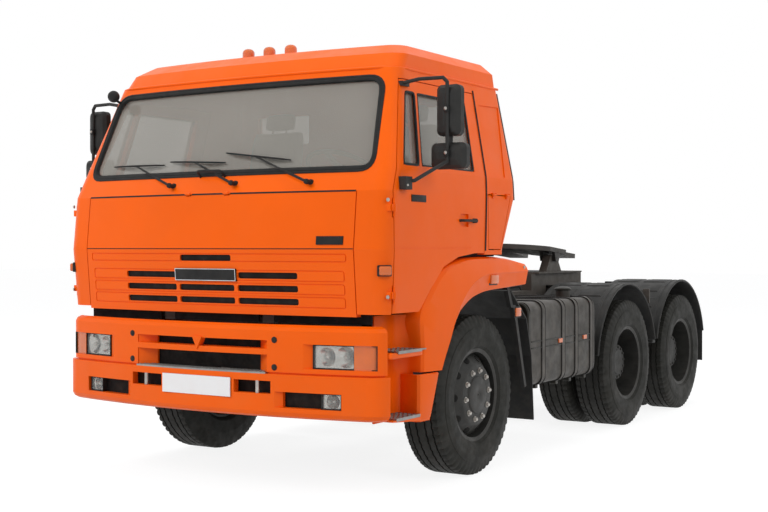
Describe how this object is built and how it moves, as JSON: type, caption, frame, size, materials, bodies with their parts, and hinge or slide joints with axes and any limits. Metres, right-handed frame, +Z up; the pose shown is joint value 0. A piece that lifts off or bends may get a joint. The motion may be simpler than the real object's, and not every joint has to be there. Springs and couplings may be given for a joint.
{
  "type": "semi truck tractor unit",
  "caption": "Forward-control heavy tractor unit with a tilting sleeper cab, steered front axle, twin-wheel tandem and a fifth wheel coupling.",
  "frame": {"origin": "ground under the middle of the truck's length and width", "axes": "+Z up, the front of the truck faces -Y, its left side +X"},
  "size_m": [3.052, 6.09, 2.7779],
  "materials": {
    "orange_paint": "gloss",
    "chassis_paint": "semi-gloss",
    "wheel_paint": "semi-gloss",
    "black_plastic": "matte",
    "tyre_rubber": "matte",
    "seat_fabric": "woven",
    "lamp_glass": "clear",
    "window_glass": "tinted",
    "amber_lens": "gloss",
    "red_lens": "gloss",
    "plate_white": "satin",
    "tread_metal": "brushed",
    "cast_steel": "greased"
  },
  "bodies": {
    "chassis": {"ladder_frame": "chassis_paint", "front_axle": "chassis_paint", "rear_bogie": "chassis_paint", "engine_block": "chassis_paint", "side_boxes": "chassis_paint", "fuel_tank": "chassis_paint", "tail_bars": "chassis_paint", "tail_lamps": "red_lens", "fifth_wheel_base": "chassis_paint", "bumper": "orange_paint", "front_fenders": "orange_paint", "wheel_liners": "black_plastic", "rear_mudguards": "black_plastic", "front_lamps": "lamp_glass", "amber_lamps": "amber_lens", "number_plate": "plate_white", "step_treads": "tread_metal"},
    "knuckle_left": {"knuckle_left": "chassis_paint"},
    "knuckle_right": {"knuckle_right": "chassis_paint"},
    "cab": {"cab_floor": "black_plastic", "cab_front": "orange_paint", "cab_sides": "orange_paint", "cab_rear": "orange_paint", "cab_roof": "orange_paint", "cab_glass": "window_glass", "seats": "seat_fabric", "dashboard": "black_plastic", "cab_trim": "black_plastic", "roof_lamps": "amber_lens"},
    "steering_wheel": {"steering_wheel": "black_plastic"},
    "front_panel": {"front_panel": "orange_paint"},
    "fifth_wheel_plate": {"fifth_wheel_plate": "cast_steel"},
    "door_left": {"door_left": "orange_paint", "door_glass_left": "window_glass", "mirrors_left": "black_plastic"},
    "locker_lid_left": {"locker_lid_left": "orange_paint"},
    "front_wheel_left": {"front_tyre_left": "tyre_rubber", "front_wheel_left": "wheel_paint"},
    "middle_wheel_left": {"middle_tyre_left": "tyre_rubber", "middle_wheel_left": "wheel_paint"},
    "rear_wheel_left": {"rear_tyre_left": "tyre_rubber", "rear_wheel_left": "wheel_paint"},
    "door_right": {"door_right": "orange_paint", "door_glass_right": "window_glass", "mirrors_right": "black_plastic"},
    "locker_lid_right": {"locker_lid_right": "orange_paint"},
    "front_wheel_right": {"front_tyre_right": "tyre_rubber", "front_wheel_right": "wheel_paint"},
    "middle_wheel_right": {"middle_tyre_right": "tyre_rubber", "middle_wheel_right": "wheel_paint"},
    "rear_wheel_right": {"rear_tyre_right": "tyre_rubber", "rear_wheel_right": "wheel_paint"}
  },
  "joints": [
    {"name": "steer_left", "type": "hinge", "parent": "chassis", "child": "knuckle_left", "pos_m": [0.88, -1.645, 0.518], "axis": [0, 0, 1], "range_deg": [-35, 35]},
    {"name": "front_wheel_left_spin", "type": "hinge", "parent": "knuckle_left", "child": "front_wheel_left", "pos_m": [1.042, -1.645, 0.518], "axis": [1, 0, 0], "continuous": true},
    {"name": "middle_wheel_left_spin", "type": "hinge", "parent": "chassis", "child": "middle_wheel_left", "pos_m": [0.87, 1.045, 0.518], "axis": [1, 0, 0], "continuous": true},
    {"name": "rear_wheel_left_spin", "type": "hinge", "parent": "chassis", "child": "rear_wheel_left", "pos_m": [0.87, 2.365, 0.518], "axis": [1, 0, 0], "continuous": true},
    {"name": "steer_right", "type": "hinge", "parent": "chassis", "child": "knuckle_right", "pos_m": [-0.88, -1.645, 0.518], "axis": [0, 0, 1], "range_deg": [-35, 35]},
    {"name": "front_wheel_right_spin", "type": "hinge", "parent": "knuckle_right", "child": "front_wheel_right", "pos_m": [-1.042, -1.645, 0.518], "axis": [1, 0, 0], "continuous": true},
    {"name": "middle_wheel_right_spin", "type": "hinge", "parent": "chassis", "child": "middle_wheel_right", "pos_m": [-0.87, 1.045, 0.518], "axis": [1, 0, 0], "continuous": true},
    {"name": "rear_wheel_right_spin", "type": "hinge", "parent": "chassis", "child": "rear_wheel_right", "pos_m": [-0.87, 2.365, 0.518], "axis": [1, 0, 0], "continuous": true},
    {"name": "cab_tilt", "type": "hinge", "parent": "chassis", "child": "cab", "pos_m": [0, -2.805, 1.06], "axis": [1, 0, 0], "range_deg": [0, 50]},
    {"name": "door_left_swing", "type": "hinge", "parent": "cab", "child": "door_left", "pos_m": [1.25, -2.787, 1.7], "axis": [0, 0, -1], "range_deg": [0, 65]},
    {"name": "locker_left_lift", "type": "hinge", "parent": "cab", "child": "locker_lid_left", "pos_m": [1.256, -1.459, 1.813], "axis": [0, -1, 0], "range_deg": [0, 75]},
    {"name": "door_right_swing", "type": "hinge", "parent": "cab", "child": "door_right", "pos_m": [-1.25, -2.787, 1.7], "axis": [0, 0, 1], "range_deg": [0, 65]},
    {"name": "locker_right_lift", "type": "hinge", "parent": "cab", "child": "locker_lid_right", "pos_m": [-1.256, -1.459, 1.813], "axis": [0, 1, 0], "range_deg": [0, 75]},
    {"name": "front_panel_lift", "type": "hinge", "parent": "cab", "child": "front_panel", "pos_m": [0, -2.935, 1.801], "axis": [-1, 0, 0], "range_deg": [0, 70]},
    {"name": "steering_wheel_turn", "type": "hinge", "parent": "cab", "child": "steering_wheel", "pos_m": [0.56, -2.295, 1.93], "axis": [0, 0.4695, 0.8829], "range_deg": [-720, 720]},
    {"name": "fifth_wheel_tilt", "type": "hinge", "parent": "chassis", "child": "fifth_wheel_plate", "pos_m": [0, 1.255, 1.385], "axis": [1, 0, 0], "range_deg": [0, 17]}
  ],
  "couplings": [
    {"joint": "steer_right", "follows": "steer_left", "ratio": 1},
    {"joint": "steering_wheel_turn", "follows": "steer_left", "ratio": 20}
  ]
}
